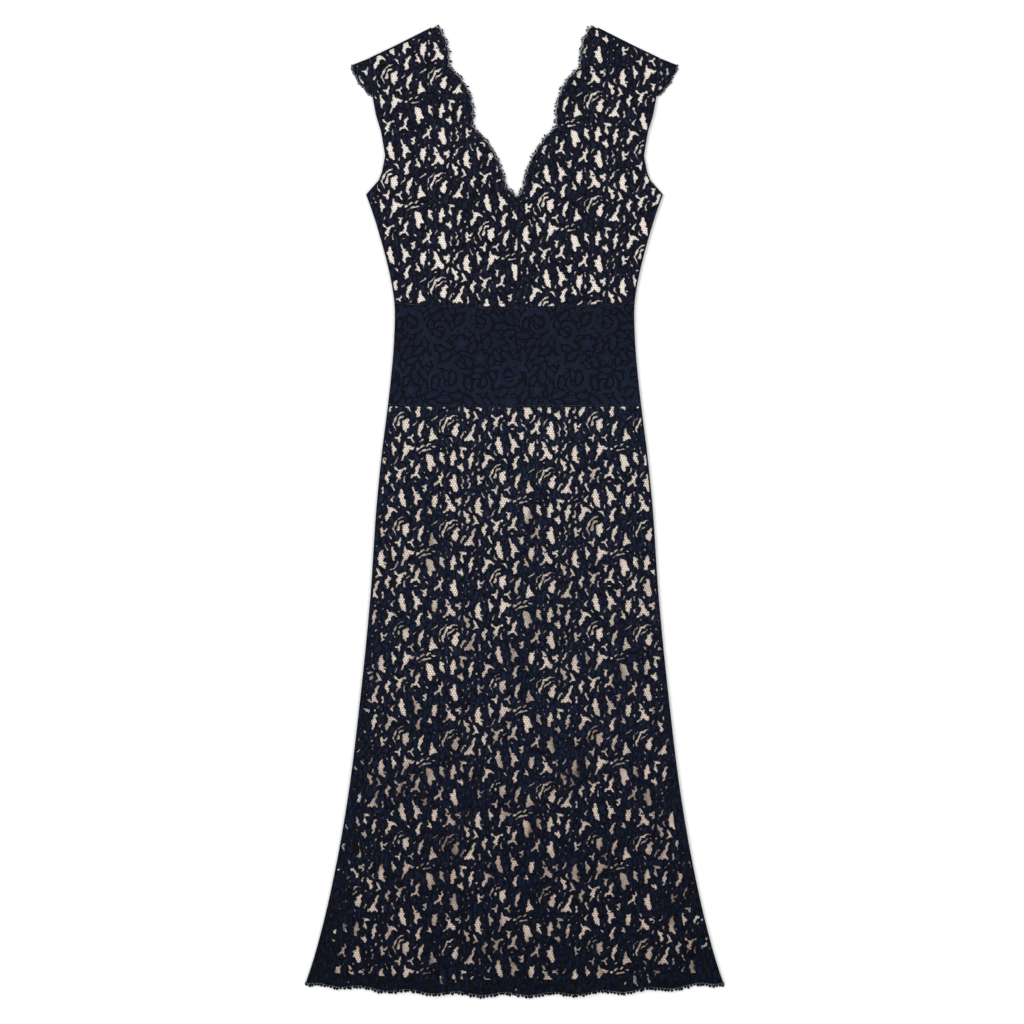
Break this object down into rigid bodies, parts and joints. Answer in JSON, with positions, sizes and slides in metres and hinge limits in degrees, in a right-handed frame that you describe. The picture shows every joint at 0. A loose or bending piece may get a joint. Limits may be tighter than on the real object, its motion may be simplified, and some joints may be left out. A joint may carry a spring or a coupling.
{
  "type": "lace evening gown",
  "caption": "Full-length evening gown of navy lace over a nude lining, with a scalloped V neck, cap sleeves and a corded waistband, laid flat.",
  "frame": {"origin": "middle of the gown's outline, on the surface that it lies on", "axes": "+Y up the gown towards the neck, +X to the right as the front is seen, +Z out of the front"},
  "size_m": [0.6499, 1.5031, 0.0098],
  "materials": {
    "navy_lace": "matt corded lace",
    "navy_corded_lace": "corded applique on a dense ground",
    "nude_lining": "soft satin"
  },
  "bodies": {
    "root": {"back_bodice_left": "navy_lace", "back_bodice_right": "navy_lace", "back_waistband": "navy_lace", "back_skirt": "navy_lace", "front_bodice_lining_left": "nude_lining", "front_bodice_lining_right": "nude_lining", "front_skirt_lining": "nude_lining", "front_bodice_lace_left": "navy_lace", "front_bodice_lace_right": "navy_lace", "front_skirt_lace": "navy_lace", "front_waistband": "navy_corded_lace", "cap_sleeve_left": "navy_lace", "cap_sleeve_right": "navy_lace"}
  },
  "joints": []
}
